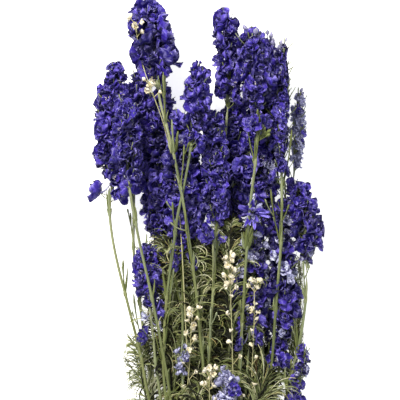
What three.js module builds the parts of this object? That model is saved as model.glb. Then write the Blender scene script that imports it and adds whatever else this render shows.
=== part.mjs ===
// A bunch of dried larkspur lying on a table, held near its cut ends by a rubber band.
//
// The bunch lies along Y: cut ends at the -Y end, flower tips at the +Y end, X across it and Z up from the
// table. Each stalk is a round stem that carries a raceme, the long flower head. Pale sprigs and tufts of
// feathery leaves lie among the stalks. Every one of them is a round-section sweep along Y, whose rings stand
// on stations that all of them share. They start where they would like to lie and then settle: they push each
// other and the table away until each pair has its clearance.

import * as THREE from "three";

// ---- Driving dimensions, in millimetres ----

const BUNCH_LENGTH = 700; // from the cut ends to the highest tip
const HEAD_WIDTH = 230; // across the flower heads, between the outermost routes
const STEM_CUT_DIAMETER = 3.2; // at the cut end
const STEM_NECK_DIAMETER = 2.2; // where the raceme starts
const SPRIG_STEM_DIAMETER = 1.8;
const SPRIG_HEAD_DIAMETER = 12;
const RACEME_DIAMETER = { broad: 37, full: 32, middle: 27, slim: 22, fine: 13 };
const RACEME_FOOT_DIAMETER = 9; // over the lowest flower stalks
const TUFT_DIAMETER = { wide: 26, middle: 22, thin: 15 };
const TUFT_FOOT_DIAMETER = 6; // where the leaves gather on their stem
const LAYER_RISE = 25; // from one layer of flower heads to the next
const BUNDLE_RISE = 7; // the same where the band holds the stems
const UNEVEN_CUT = 12; // between the longest and the shortest stem at the cut
const BAND_FROM_CUT = 90; // middle of the rubber band, from the cut ends
const BAND_WIDTH = 10;
const BAND_THICKNESS = 2;
const CLEARANCE = 0.4; // between any two pieces
const BAND_CLEARANCE = 0.7; // between the band's flats and the round stems

const STATION_STEP = 24; // between two rings, before it is evened out along the bunch
const STEM_SIDES = 6;
const HEAD_SIDES = 10;
const BAND_SIDES = 28;

// ---- The plants ----
// Each route is a list of [across, down]: across is from the bunch's middle line, and down is from the highest
// tip. A route starts at its own tip. It is drawn for a head 230 wide, and it stays as drawn down to FAN_TOP,
// where the stalks start to run together towards the band. neck is how far down a raceme ends and its stem
// starts. layer is the height of the tip and of the neck: 0 lies on the table, and each 1 is a layer higher.

const DRAWN_WIDTH = 230;
const FAN_TOP = 400;
const FAN_AT_BAND = 0.06; // the share of its spread that the bunch keeps under the band
const FAN_AT_CUT = 0.16;
const FAN_CURVE = 0.85;

const STALKS = [
  { size: "broad", neck: 78, layer: [1.1, 1.9],
    route: [[-55, 0], [-54, 78], [-40, 122], [-21, 160], [-10, 240], [2, 400]] },
  { size: "full", neck: 178, layer: [0.7, 1.1],
    route: [[-84, 64], [-87, 165], [-102, 200], [-95, 240], [-61, 342], [-56, 400]] },
  { size: "middle", neck: 172, layer: [0, 0],
    route: [[-62, 68], [-66, 165], [-72, 272], [-59, 318], [-58, 400]] },
  { size: "middle", neck: 176, layer: [1.5, 2],
    route: [[-76, 98], [-80, 160], [-71, 216], [-62, 244], [-46, 300], [-30, 400]] },
  { size: "full", neck: 246, layer: [0, 0],
    route: [[-42, 84], [-42, 220], [-41, 284], [-26, 329], [4, 400]] },
  { size: "broad", neck: 250, layer: [1, 1.1],
    route: [[-20, 112], [-18, 225], [-20, 300], [-22, 400]] },
  { size: "slim", neck: 140, layer: [1.5, 1.9],
    route: [[0, 60], [-8, 135], [-18, 200], [-38, 300], [-40, 400]] },
  { size: "slim", neck: 98, layer: [0.8, 0.9],
    route: [[24, 12], [33, 97], [26, 130], [12, 240], [12, 400]] },
  { size: "middle", neck: 226, layer: [1, 1.6],
    route: [[13, 112], [14, 211], [16, 237], [12, 283], [6, 400]] },
  { size: "full", neck: 244, layer: [0, 0],
    route: [[33, 96], [34, 244], [34, 300], [28, 400]] },
  { size: "full", neck: 112, layer: [1, 1.9],
    route: [[49, 24], [61, 112], [59, 156], [47, 198], [46, 242], [37, 362], [41, 400]] },
  { size: "full", neck: 236, layer: [0, 0.1],
    route: [[67, 26], [68, 236], [62, 300], [58, 400]] },
  { size: "middle", neck: 164, layer: [1, 1.5],
    route: [[84, 36], [78, 160], [83, 196], [83, 232], [76, 300], [70, 400]] },
  { size: "fine", neck: 168, layer: [0.3, 0.5],
    route: [[99, 84], [97, 168], [89, 200], [84, 262], [74, 400]] },
  { size: "middle", neck: 266, layer: [0.7, 1],
    route: [[93, 178], [110, 262], [113, 289], [104, 350], [99, 400]] },
  { size: "full", neck: 350, layer: [0.1, 0.3],
    route: [[80, 200], [84, 345], [84, 400]] },
  { size: "slim", neck: 306, layer: [1, 1.4],
    route: [[-55, 244], [-56, 304], [-46, 338], [-44, 400]] },
  { size: "middle", neck: 336, layer: [1, 1.2],
    route: [[50, 214], [48, 336], [50, 400]] },
  { size: "fine", neck: 398, layer: [0.9, 1.1],
    route: [[104, 346], [102, 398], [96, 430]] },
  { size: "fine", neck: 376, layer: [1.5, 1.5],
    route: [[-18, 338], [-17, 376], [-20, 420]] },
  { size: "slim", neck: 414, layer: [1.5, 1.5],
    route: [[28, 362], [30, 410], [30, 440]] },
];

const SPRIGS = [
  { neck: 306, layer: [1.9, 1.9], route: [[26, 256], [31, 305], [30, 400]] },
  { neck: 402, layer: [2, 1.9], route: [[9, 366], [10, 402], [8, 430]] },
  { neck: 342, layer: [1.8, 1.6], route: [[-4, 308], [-14, 342], [-18, 400]] },
  { neck: 330, layer: [1.5, 1.5], route: [[52, 280], [53, 342], [58, 400]] },
  { neck: 100, layer: [2.4, 2.3], route: [[-66, 22], [-56, 88], [-30, 118], [-24, 148], [-18, 240], [-14, 400]] },
];

const TUFTS = [
  { size: "middle", layer: [1, 1], route: [[-28, 236], [-26, 320], [-30, 395]] },
  { size: "wide", layer: [1.1, 1], route: [[-4, 240], [0, 330], [-4, 400]] },
  { size: "middle", layer: [0.2, 0], route: [[10, 262], [12, 340], [8, 420]] },
  { size: "middle", layer: [0, 0], route: [[-64, 340], [-60, 400], [-52, 470]] },
  { size: "middle", layer: [0, 0], route: [[-26, 300], [-28, 400], [-28, 480]] },
  { size: "wide", layer: [1, 0.9], route: [[2, 380], [0, 470], [-2, 520]] },
  { size: "middle", layer: [0, 0], route: [[36, 330], [36, 420], [34, 480]] },
  { size: "middle", layer: [0, 0], route: [[66, 345], [62, 420], [58, 480]] },
  { size: "wide", layer: [0.9, 0.9], route: [[36, 376], [34, 470], [30, 520]] },
  { size: "thin", layer: [0.2, 0], route: [[106, 262], [102, 330], [92, 400]] },
  { size: "middle", layer: [0.9, 0.9], route: [[68, 376], [60, 450], [54, 500]] },
  { size: "middle", layer: [1.4, 1.2], route: [[29, 212], [31, 280], [32, 345]] },
];

// ---- Stations: the planes along Y on which every ring stands ----

const STEP = BUNCH_LENGTH / Math.round(BUNCH_LENGTH / STATION_STEP);
const BAND_DOWN = BUNCH_LENGTH - BAND_FROM_CUT;
const { lerp, clamp } = THREE.MathUtils;

/** How wide the bunch still is this far down, as a share of its spread at the head. */
function fanAt(down) {
  if (down < FAN_TOP) return 1;
  if (down > BAND_DOWN) return lerp(FAN_AT_BAND, FAN_AT_CUT, (down - BAND_DOWN) / BAND_FROM_CUT);
  return lerp(1, FAN_AT_BAND, ((down - FAN_TOP) / (BAND_DOWN - FAN_TOP)) ** FAN_CURVE);
}

/** Where a route runs this far down, across the bunch. */
function acrossAt(route, down) {
  const next = route.findIndex((point) => point[1] >= down);
  let across = route[route.length - 1][0];
  if (next === 0) across = route[0][0];
  if (next > 0) {
    const [[x0, down0], [x1, down1]] = [route[next - 1], route[next]];
    across = lerp(x0, x1, (down - down0) / (down1 - down0));
  }
  return across * fanAt(down) * (HEAD_WIDTH / DRAWN_WIDTH);
}

// ---- Threads: one for each plant or tuft, with a centre and a radius on each of its stations ----

// A head's outline: the shares of its length over which it swells from its foot and closes to its tip, and the
// share of its width that its tip keeps.
const SWELL = 0.22;
const CLOSE = 0.45;
const TIP_WIDTH = 0.34;

/** Radius of a flower head or tuft, with share 0 at its foot and 1 at its tip. */
function headRadius(share, footRadius, fullRadius) {
  const swell = Math.min(1, share / SWELL) ** 0.7;
  const close = Math.min(1, (1 - share) / CLOSE) ** 0.5;
  return Math.max(lerp(footRadius, fullRadius, swell) * lerp(TIP_WIDTH, 1, close), footRadius / 2);
}

/** head and stem are diameters: head { foot, full }, and stem { neck, cut } where there is a stem below it. */
function makeThread(name, plant, neck, end, head, stem) {
  const tip = plant.route[0][1];
  const first = Math.floor(tip / STEP);
  const last = Math.ceil(end / STEP);
  const points = [];
  const radii = [];
  for (let station = first; station <= last; station++) {
    const down = clamp(station * STEP, tip, end);
    const share = Math.max(0, (neck - down) / (neck - tip));
    const layer = lerp(plant.layer[1], plant.layer[0], share);
    const headZ = layer * LAYER_RISE + head.full / 2;
    const bandZ = BAND_THICKNESS + BAND_CLEARANCE + STEM_CUT_DIAMETER / 2 + plant.layer[1] * BUNDLE_RISE;
    const fall = clamp((down - neck) / (BAND_DOWN - neck), 0, 1);
    points.push({ x: acrossAt(plant.route, down), z: lerp(headZ, bandZ, fall) });
    if (down <= neck) radii.push(headRadius(share, head.foot / 2, head.full / 2));
    else radii.push(lerp(stem.neck, stem.cut, (down - neck) / (BUNCH_LENGTH - neck)) / 2);
  }
  return { name, tip, neck, end, first, last, points, radii, wishes: points.map((point) => ({ ...point })) };
}

const twoDigits = (index) => String(index + 1).padStart(2, "0");

function stalkThread(plant, index) {
  const head = { foot: RACEME_FOOT_DIAMETER, full: RACEME_DIAMETER[plant.size] };
  const stem = { neck: STEM_NECK_DIAMETER, cut: STEM_CUT_DIAMETER };
  const shorterBy = (((index * 7) % 5) / 4) * UNEVEN_CUT; // 7 and 5 only mix the lengths
  return makeThread(twoDigits(index), plant, plant.neck, BUNCH_LENGTH - shorterBy, head, stem);
}

function sprigThread(plant, index) {
  const head = { foot: SPRIG_STEM_DIAMETER, full: SPRIG_HEAD_DIAMETER };
  const stem = { neck: SPRIG_STEM_DIAMETER, cut: SPRIG_STEM_DIAMETER };
  return makeThread(twoDigits(index), plant, plant.neck, BUNCH_LENGTH - UNEVEN_CUT, head, stem);
}

function tuftThread(plant, index) {
  const foot = plant.route[plant.route.length - 1][1];
  const head = { foot: TUFT_FOOT_DIAMETER, full: TUFT_DIAMETER[plant.size] };
  return makeThread(twoDigits(index), plant, foot, foot, head);
}

// ---- Settling ----

const PULL_PASSES = 260; // the passes in which threads still lean towards where they would like to lie
const MOST_PASSES = 2600;
const PULL = 0.06; // share of the way back to that place in one pass
const STIFFNESS = 0.3; // share of the way to the middle of its two neighbours in one pass
const SETTLED = 1e-4;

/** The lowest that a surface may lie: on the table, or on the band where that runs under the stems. */
function floorAt(station) {
  const overBand = Math.abs(station * STEP - BAND_DOWN) < BAND_WIDTH / 2 + STEP;
  return overBand ? BAND_THICKNESS + BAND_CLEARANCE : 0;
}

/** Pushes two stretches apart where they are a share along, half of what they lack each, and returns that. */
function pushApart(stretchA, stretchB, share, room) {
  const dx = lerp(stretchA[0].x - stretchB[0].x, stretchA[1].x - stretchB[1].x, share);
  const dz = lerp(stretchA[0].z - stretchB[0].z, stretchA[1].z - stretchB[1].z, share);
  const distance = Math.hypot(dx, dz) || 1e-6;
  const lack = room - distance;
  if (lack <= 0) return 0;
  const weights = [1 - share, share];
  const scale = lack / distance / 2 / (weights[0] ** 2 + weights[1] ** 2);
  weights.forEach((weight, end) => {
    stretchA[end].x += dx * scale * weight;
    stretchA[end].z += dz * scale * weight;
    stretchB[end].x -= dx * scale * weight;
    stretchB[end].z -= dz * scale * weight;
  });
  return lack;
}

/** Separates two threads between a station and the next: at both, halfway, and where they come closest. */
function separate(a, b, station) {
  const [stretchA, stretchB] = [a, b].map((t) => [t.points[station - t.first], t.points[station + 1 - t.first]]);
  const rooms = [station, station + 1].map((s) => a.radii[s - a.first] + b.radii[s - b.first] + CLEARANCE);
  const [x0, z0] = [stretchA[0].x - stretchB[0].x, stretchA[0].z - stretchB[0].z];
  const [runX, runZ] = [stretchA[1].x - stretchB[1].x - x0, stretchA[1].z - stretchB[1].z - z0];
  const run = runX ** 2 + runZ ** 2;
  const closest = run > 0 ? clamp(-(x0 * runX + z0 * runZ) / run, 0, 1) : 0;
  const lacks = [0, 1, 0.5, closest].map((share) => {
    return pushApart(stretchA, stretchB, share, lerp(rooms[0], rooms[1], share));
  });
  return Math.max(...lacks);
}

/** Leans one thread towards its wishes, and straightens it a little as a stem does. */
function lean(t) {
  t.points.forEach((point, i) => {
    point.x += (t.wishes[i].x - point.x) * PULL;
    point.z += (t.wishes[i].z - point.z) * PULL;
    const [before, after] = [t.points[i - 1], t.points[i + 1]];
    if (!before || !after) return;
    point.x += ((before.x + after.x) / 2 - point.x) * STIFFNESS;
    point.z += ((before.z + after.z) / 2 - point.z) * STIFFNESS;
  });
}

function settle(threads) {
  for (let pass = 0; pass < MOST_PASSES; pass++) {
    const leaning = pass < PULL_PASSES;
    if (leaning) threads.forEach(lean);
    let worst = 0;
    threads.forEach((a, i) => {
      for (const b of threads.slice(i + 1)) {
        const end = Math.min(a.last, b.last);
        for (let s = Math.max(a.first, b.first); s < end; s++) worst = Math.max(worst, separate(a, b, s));
      }
    });
    for (const t of threads) {
      t.points.forEach((point, i) => {
        const lowest = floorAt(i + t.first) + t.radii[i];
        worst = Math.max(worst, lowest - point.z);
        point.z = Math.max(point.z, lowest);
      });
    }
    if (!leaning && worst < SETTLED) break;
  }
}

// ---- Solids ----

/** A thread's centre and radius at any depth, straight between its stations. */
function sectionAt(t, down) {
  const place = clamp(down / STEP - t.first, 0, t.points.length - 1);
  const i = Math.min(Math.floor(place), t.points.length - 2);
  const share = place - i;
  return {
    x: lerp(t.points[i].x, t.points[i + 1].x, share),
    y: BUNCH_LENGTH - down,
    z: lerp(t.points[i].z, t.points[i + 1].z, share),
    radius: lerp(t.radii[i], t.radii[i + 1], share),
  };
}

/** One closed round-section solid along a thread, from one depth to another. */
function sweep(t, from, to, sides, startDiameter) {
  const shortest = STEP / 8; // a ring closer than this to an end is left out
  const downs = [from];
  for (let station = t.first; station <= t.last; station++) {
    if (station * STEP > from + shortest && station * STEP < to - shortest) downs.push(station * STEP);
  }
  downs.push(to);
  const rings = downs.map((down) => sectionAt(t, down));
  if (startDiameter) rings[0].radius = startDiameter / 2;
  const geometry = new THREE.CylinderGeometry(1, 1, 1, sides, rings.length - 1);
  const position = geometry.getAttribute("position");
  for (let i = 0; i < position.count; i++) {
    const ring = rings[Math.round((0.5 - position.getY(i)) * (rings.length - 1))];
    position.setXYZ(i, ring.x + position.getX(i) * ring.radius, ring.y, ring.z + position.getZ(i) * ring.radius);
  }
  return geometry;
}

/** The rubber band: a loop that follows the outline of the stems that it holds, a clearance outside them. */
function bandGeometry(threads) {
  const edges = [BAND_DOWN - BAND_WIDTH / 2, BAND_DOWN, BAND_DOWN + BAND_WIDTH / 2];
  const sections = threads.flatMap((t) => edges.map((down) => sectionAt(t, down)));
  const outline = (offset) =>
    Array.from({ length: BAND_SIDES }, (_, i) => {
      const angle = (i / BAND_SIDES) * 2 * Math.PI;
      const [ux, uz] = [Math.cos(angle), Math.sin(angle)];
      const reach = (s) => s.x * ux + s.z * uz + s.radius;
      const outermost = sections.reduce((best, s) => (reach(s) > reach(best) ? s : best));
      const radius = outermost.radius + offset;
      return new THREE.Vector2(outermost.x + radius * ux, outermost.z + radius * uz);
    });
  const shape = new THREE.Shape(outline(BAND_CLEARANCE + BAND_THICKNESS));
  shape.holes.push(new THREE.Path(outline(BAND_CLEARANCE)));
  const geometry = new THREE.ExtrudeGeometry(shape, { depth: BAND_WIDTH, bevelEnabled: false });
  return geometry.rotateX(Math.PI / 2).translate(0, BAND_FROM_CUT + BAND_WIDTH / 2, 0);
}

// ---- Materials ----

const petalViolet = new THREE.MeshStandardMaterial({ color: 0x352c84, roughness: 0.7 });
const stemGreen = new THREE.MeshStandardMaterial({ color: 0x8b9468, roughness: 0.75 });
const sprigCream = new THREE.MeshStandardMaterial({ color: 0xe6dcb8, roughness: 0.8 });
const leafOlive = new THREE.MeshStandardMaterial({ color: 0x727452, roughness: 0.85 });
const rubberTan = new THREE.MeshStandardMaterial({ color: 0xc9a56b, roughness: 0.6 });

// ---- Assembly ----

const stalks = STALKS.map(stalkThread);
const sprigs = SPRIGS.map(sprigThread);
const tufts = TUFTS.map(tuftThread);
settle([...stalks, ...sprigs, ...tufts]);

const bunch = new THREE.Group();

function add(name, geometry, material) {
  const mesh = new THREE.Mesh(geometry, material);
  mesh.name = name;
  bunch.add(mesh);
}

for (const t of stalks) {
  add(`raceme_${t.name}`, sweep(t, t.tip, t.neck, HEAD_SIDES), petalViolet);
  add(`stem_${t.name}`, sweep(t, t.neck + CLEARANCE, t.end, STEM_SIDES, STEM_NECK_DIAMETER), stemGreen);
}
for (const t of sprigs) add(`pale_sprig_${t.name}`, sweep(t, t.tip, t.end, STEM_SIDES), sprigCream);
for (const t of tufts) add(`leaf_tuft_${t.name}`, sweep(t, t.tip, t.end, HEAD_SIDES), leafOlive);
add("rubber_band", bandGeometry([...stalks, ...sprigs]), rubberTan);

// The origin is under the middle of the bunch, on the table.
const box = new THREE.Box3().setFromObject(bunch);
const middle = box.getCenter(new THREE.Vector3());
bunch.position.set(-middle.x, -middle.y, -box.min.z);

export default bunch;
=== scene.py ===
# A bunch of dried larkspur lying on a table, held near its cut ends by a rubber band.
# +Y runs along the stems to the flower tips and +Z is up from the table. Sizes are in metres.
import math

import bpy
import numpy as np
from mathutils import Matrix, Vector


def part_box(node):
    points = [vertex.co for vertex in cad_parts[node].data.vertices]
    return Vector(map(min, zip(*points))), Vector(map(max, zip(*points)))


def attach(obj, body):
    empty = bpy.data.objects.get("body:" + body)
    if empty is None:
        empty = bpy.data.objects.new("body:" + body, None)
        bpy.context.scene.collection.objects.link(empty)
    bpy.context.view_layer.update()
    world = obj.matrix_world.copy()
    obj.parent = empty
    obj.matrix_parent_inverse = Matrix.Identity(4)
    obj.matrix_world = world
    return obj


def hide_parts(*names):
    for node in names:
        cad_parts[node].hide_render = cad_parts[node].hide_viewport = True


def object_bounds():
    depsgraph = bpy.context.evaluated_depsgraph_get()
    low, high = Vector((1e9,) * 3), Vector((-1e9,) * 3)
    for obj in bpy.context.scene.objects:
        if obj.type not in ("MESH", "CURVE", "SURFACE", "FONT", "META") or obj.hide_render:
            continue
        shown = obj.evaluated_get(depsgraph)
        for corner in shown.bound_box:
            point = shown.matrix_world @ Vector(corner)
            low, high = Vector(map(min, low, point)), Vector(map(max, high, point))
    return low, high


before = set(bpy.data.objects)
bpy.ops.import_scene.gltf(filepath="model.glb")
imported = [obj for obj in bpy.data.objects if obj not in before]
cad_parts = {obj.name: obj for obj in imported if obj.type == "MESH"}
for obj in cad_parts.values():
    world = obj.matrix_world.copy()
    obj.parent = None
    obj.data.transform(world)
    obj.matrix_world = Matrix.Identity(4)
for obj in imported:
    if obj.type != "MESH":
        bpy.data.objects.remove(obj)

cad_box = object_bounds()
MM = 0.001


# ---- The table top ----
# A sheet of opal acrylic, as small goods are shown on. No lamp lies beneath it: its material glows by itself,
# a painted glow in place of light from beneath, which thins the shadows on it. The bunch lies straight on it,
# and it is only the setting.

def linear(hex_colour, alpha=1.0):
    """An sRGB hex colour as the linear values that a shader takes."""
    parts = [int(hex_colour[i:i + 2], 16) / 255 for i in (1, 3, 5)]
    return [p / 12.92 if p <= 0.04045 else ((p + 0.055) / 1.055) ** 2.4 for p in parts] + [alpha]


def add_node(tree, kind, inputs=None, **settings):
    """Adds one node with its settings. inputs maps its sockets to values or to other nodes' outputs."""
    made = tree.nodes.new(kind)
    for name, value in settings.items():
        setattr(made, name, value)
    for name, value in (inputs or {}).items():
        if isinstance(value, bpy.types.NodeSocket):
            tree.links.new(value, made.inputs[name])
        else:
            made.inputs[name].default_value = value
    return made


def new_material(name):
    """An empty material with its output node, and the tree and the output to build it in."""
    material = bpy.data.materials.new(name)
    material.use_nodes = True
    material.node_tree.nodes.clear()
    return material, material.node_tree, add_node(material.node_tree, "ShaderNodeOutputMaterial")


TABLE_SIZE = 6.0
SANDING_GRAIN = 20 / 3 * MM  # much coarser than real sanding, which would be too fine to show
TABLE_PAINTED_GLOW = 0.78


def opal_acrylic():
    """Cast opal acrylic, sanded matt: even and white, with a painted glow in place of light from beneath,
    which thins the shadows that fall on it.
    """
    material, tree, output = new_material("sanded_opal_acrylic")
    grain = add_node(tree, "ShaderNodeTexNoise", {"Scale": TABLE_SIZE / SANDING_GRAIN, "Detail": 2.0})
    bump = add_node(tree, "ShaderNodeBump", {
        "Height": grain.outputs["Fac"], "Strength": 0.02, "Distance": 0.5 * MM})
    sheet = add_node(tree, "ShaderNodeBsdfPrincipled", {
        "Base Color": linear("#f6f6f5"), "Roughness": 0.85, "Normal": bump.outputs["Normal"]})
    # painted glow: the sheet gives off light of its own, as if lit from beneath, though no lamp is there
    sheet.inputs["Emission Color"].default_value = linear("#ffffff")
    sheet.inputs["Emission Strength"].default_value = TABLE_PAINTED_GLOW
    tree.links.new(sheet.outputs["BSDF"], output.inputs["Surface"])
    return material


bpy.ops.mesh.primitive_plane_add(size=TABLE_SIZE, location=(0, 0, -0.2 * MM))
table = bpy.context.object
table.name = "table_top"
table.data.materials.append(opal_acrylic())


# ---- The light and the camera ----
# A large softbox beyond the flower tips and a bright plain room light the bunch evenly, with soft shadows.
# The camera hangs over the flower heads and looks straight down, with the tips at the top of its picture.

scene = bpy.context.scene
scene.view_settings.view_transform = "Standard"

world = bpy.data.worlds.new("bright_room")
scene.world = world
world.use_nodes = True
world.node_tree.nodes["Background"].inputs["Color"].default_value = linear("#f4f6fb")
world.node_tree.nodes["Background"].inputs["Strength"].default_value = 0.42


def softbox(name, place, aim, size, watts, colour):
    """A square area light at a place, turned to a point."""
    data = bpy.data.lights.new(name, "AREA")
    data.shape = "SQUARE"
    data.size = size
    data.energy = watts
    data.color = linear(colour)[:3]
    lamp = bpy.data.objects.new(name, data)
    lamp.location = place
    lamp.rotation_euler = (Vector(aim) - Vector(place)).to_track_quat("-Z", "Y").to_euler()
    bpy.context.collection.objects.link(lamp)


HEAD_CENTRE = (0.0, 0.15, 0.04)
softbox("key_softbox", (-0.6, 1.1, 1.3), HEAD_CENTRE, 0.6, 46.0, "#fffaf2")
softbox("fill_softbox", (1.1, -0.5, 1.3), HEAD_CENTRE, 1.2, 8.0, "#f2f6ff")

CAMERA_HEIGHT = 2.2
VIEW_HEIGHT = 0.4  # how much of the bunch the picture takes in, from the tips down
VIEW_ASIDE = -7 * MM  # the picture's middle lies a little to the left of the bunch's
bpy.ops.object.camera_add(location=(VIEW_ASIDE, cad_box[1].y - VIEW_HEIGHT / 2, CAMERA_HEIGHT))
camera = bpy.context.object
camera.data.sensor_width = 36.0
camera.data.lens = camera.data.sensor_width * (CAMERA_HEIGHT - HEAD_CENTRE[2]) / VIEW_HEIGHT
camera.data.clip_end = 20.0
scene.camera = camera


# ---- Stalks: stems, side shoots and the stalklets of the florets ----
# Dried larkspur stalks, woody and finely ribbed, with swollen joints where side shoots fork off. Each one
# grew as one piece from its cut end to the tip of its flower spike, and the florets hang on its stalklets.

TABLE_GAP = 0.3 * MM  # how far the lowest skin lies over the table
FLATTENED_BELOW = 3 * MM  # what lies lower than this is squeezed by the bunch's weight


def rings_of(node_name):
    """Each ring of a CAD sweep, from foot to tip: distance along Y, middle across, middle height, radius."""
    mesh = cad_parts[node_name].data
    corners = np.empty(len(mesh.vertices) * 3)
    mesh.vertices.foreach_get("co", corners)
    corners = corners.reshape(-1, 3)
    corners = corners[np.argsort(corners[:, 1])]
    breaks = np.nonzero(np.diff(corners[:, 1]) > 0.1 * MM)[0] + 1
    rings = []
    for ring in np.split(corners, breaks):
        middle = (ring.min(0) + ring.max(0)) / 2
        rings.append([middle[1], middle[0], middle[2], np.ptp(ring[:, 0]) / 2])
    return np.array(rings)


def follow(rings, y):
    """Points and radii at the distances y, on a smooth curve through the rings."""
    at, values = rings[:, 0], rings[:, 1:]
    slopes = np.gradient(values, at, axis=0)
    i = np.clip(np.searchsorted(at, y, side="right") - 1, 0, len(at) - 2)
    gap = (at[i + 1] - at[i])[:, None]
    t = ((y - at[i]) / (at[i + 1] - at[i]))[:, None]
    made = ((2 * t**3 - 3 * t**2 + 1) * values[i] + (t**3 - 2 * t**2 + t) * gap * slopes[i]
            + (-2 * t**3 + 3 * t**2) * values[i + 1] + (t**3 - t**2) * gap * slopes[i + 1])
    return np.column_stack([made[:, 0], y, made[:, 1]]), made[:, 2]


def unit(vectors):
    return vectors / np.maximum(np.linalg.norm(vectors, axis=-1, keepdims=True), 1e-9)


LOOSE_ENDS = (1 * MM, 8 * MM)  # how far past the bunch's edge ends start to bend back, and may reach


def press(values, start, limit):
    """Squeezes the values past start, in place, so that they near the limit but never pass it."""
    depth = start - limit
    past = (values - start) / depth < 0
    values[past] = limit + depth * np.exp((values[past] - start) / depth)


class Heap:
    """Many small closed shells gathered into one mesh. Each point keeps its place on the texture sheet."""

    def __init__(self):
        self.points, self.places, self.quads, self.tris = [], [], [], []
        self.count = 0

    def add(self, points, places, quads, tris):
        self.points.append(points)
        self.places.append(places)
        self.quads.append(quads + self.count)
        self.tris.append(tris + self.count)
        self.count += len(points)

    def tubes(self, paths, radii, sides, corner, size, flat=1.0):
        """Closed tubes: paths is (tubes, rings, 3) and radii is (tubes, rings). A flat below 1 thins them
        into blades. corner and size give each tube's rectangle on the texture sheet: it runs up the tube,
        and across and back around it."""
        paths, radii = np.asarray(paths, float), np.asarray(radii, float)
        many, rings = radii.shape
        forward = unit(np.gradient(paths, axis=1))
        side = unit(np.cross(forward, np.broadcast_to([0.31, 0.17, 0.94], forward.shape)))
        up = np.cross(side, forward)
        turn = np.arange(sides) * 2 * math.pi / sides
        circle = side[:, :, None] * np.cos(turn)[:, None] + up[:, :, None] * np.sin(turn)[:, None] * flat
        skin = (paths[:, :, None] + circle * radii[:, :, None, None]).reshape(many, rings * sides, 3)
        points = np.concatenate([skin, paths[:, :1], paths[:, -1:]], axis=1)
        run = np.linspace(0, 1, rings)
        tent = 1 - np.abs(np.arange(sides) * 2 / sides - 1)
        sheet = np.stack(np.meshgrid(tent, run), axis=-1).reshape(-1, 2)
        sheet = np.concatenate([sheet, [[0.5, 0], [0.5, 1]]])
        corner, size = (np.asarray(v, float).reshape(-1, 1, 2) for v in (corner, size))
        places = corner + sheet * size
        ring, place = np.meshgrid(np.arange(rings - 1), np.arange(sides), indexing="ij")
        a = (ring * sides + place).ravel()
        b = (ring * sides + (place + 1) % sides).ravel()
        quads = np.column_stack([a, b, b + sides, a + sides])
        first, last = rings * sides, rings * sides + 1
        s = np.arange(sides)
        after = (s + 1) % sides
        foot = np.column_stack([after, s, np.full(sides, first)])
        top = (rings - 1) * sides
        tip = np.column_stack([top + s, top + after, np.full(sides, last)])
        start = (np.arange(many) * points.shape[1])[:, None, None]
        self.add(points.reshape(-1, 3), np.broadcast_to(places, (many,) + places.shape[1:]).reshape(-1, 2),
                 (quads + start).reshape(-1, 4), (np.concatenate([foot, tip]) + start).reshape(-1, 3))

    def to_object(self, name, material, left=cad_box[0].x, right=cad_box[1].x):
        """The heap as an object. What would reach through the table is pressed flat on it, and loose ends
        that would stand too far out of the bunch, or past left and right, are bent back to it."""
        points = np.concatenate(self.points)
        places = np.concatenate(self.places)
        press(points[:, 2], FLATTENED_BELOW, TABLE_GAP)
        for axis, sign, edge in ((2, 1, cad_box[1].z), (0, 1, right), (0, -1, left)):
            press(points[:, axis], edge + sign * LOOSE_ENDS[0], edge + sign * LOOSE_ENDS[1])
        quads, tris = np.concatenate(self.quads), np.concatenate(self.tris)
        corners = np.concatenate([quads.ravel(), tris.ravel()]).astype(np.int32)
        counts = np.concatenate([np.full(len(quads), 4), np.full(len(tris), 3)])
        mesh = bpy.data.meshes.new(name)
        mesh.vertices.add(len(points))
        mesh.vertices.foreach_set("co", points.ravel())
        mesh.loops.add(len(corners))
        mesh.loops.foreach_set("vertex_index", corners)
        mesh.polygons.add(len(counts))
        starts = np.concatenate([[0], np.cumsum(counts)[:-1]])
        mesh.polygons.foreach_set("loop_start", starts.astype(np.int32))
        mesh.update(calc_edges=True)
        mesh.polygons.foreach_set("use_smooth", np.ones(len(counts), bool))
        layer = mesh.uv_layers.new(name="OFBake")
        layer.data.foreach_set("uv", places[corners].ravel())
        mesh.materials.append(material)
        mesh.validate()
        made = bpy.data.objects.new(name, mesh)
        bpy.context.collection.objects.link(made)
        return made


SHEET_ROWS = 8  # a texture sheet is 8 tiles by 8, and each tile is one growth of the same kind


def tile(column, row, inset=0.06):
    """Corner and size of one tile of the texture sheet, a little inside its edges."""
    corner = (np.column_stack([column, row]) + inset) / SHEET_ROWS
    return corner, np.full_like(corner, (1 - 2 * inset) / SHEET_ROWS)


def sheet_nodes(tree):
    """Nodes that every sheet material starts with: the place on the sheet and in its tile, the tile's row,
    and a random value for each tile."""
    place = add_node(tree, "ShaderNodeUVMap", uv_map="OFBake")
    scaled = add_node(tree, "ShaderNodeVectorMath", {0: place.outputs["UV"], 1: (SHEET_ROWS,) * 3},
                      operation="MULTIPLY")
    whole = add_node(tree, "ShaderNodeVectorMath", {0: scaled.outputs["Vector"]}, operation="FLOOR")
    inside = add_node(tree, "ShaderNodeVectorMath", {0: scaled.outputs["Vector"]}, operation="FRACTION")
    chance = add_node(tree, "ShaderNodeTexWhiteNoise", {"Vector": whole.outputs["Vector"]},
                      noise_dimensions="2D")
    row = add_node(tree, "ShaderNodeSeparateXYZ", {"Vector": whole.outputs["Vector"]})
    return place, inside, row.outputs["Y"], chance


def ramp(tree, factor, stops, interpolation="LINEAR"):
    """A colour ramp through (place, hex colour) stops."""
    made = add_node(tree, "ShaderNodeValToRGB", {"Fac": factor})
    made.color_ramp.interpolation = interpolation
    elements = made.color_ramp.elements
    while len(elements) < len(stops):
        elements.new(0.5)
    for element, (place, colour) in zip(elements, stops):
        element.position = place
        element.color = linear(colour)
    return made.outputs["Color"]


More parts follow.
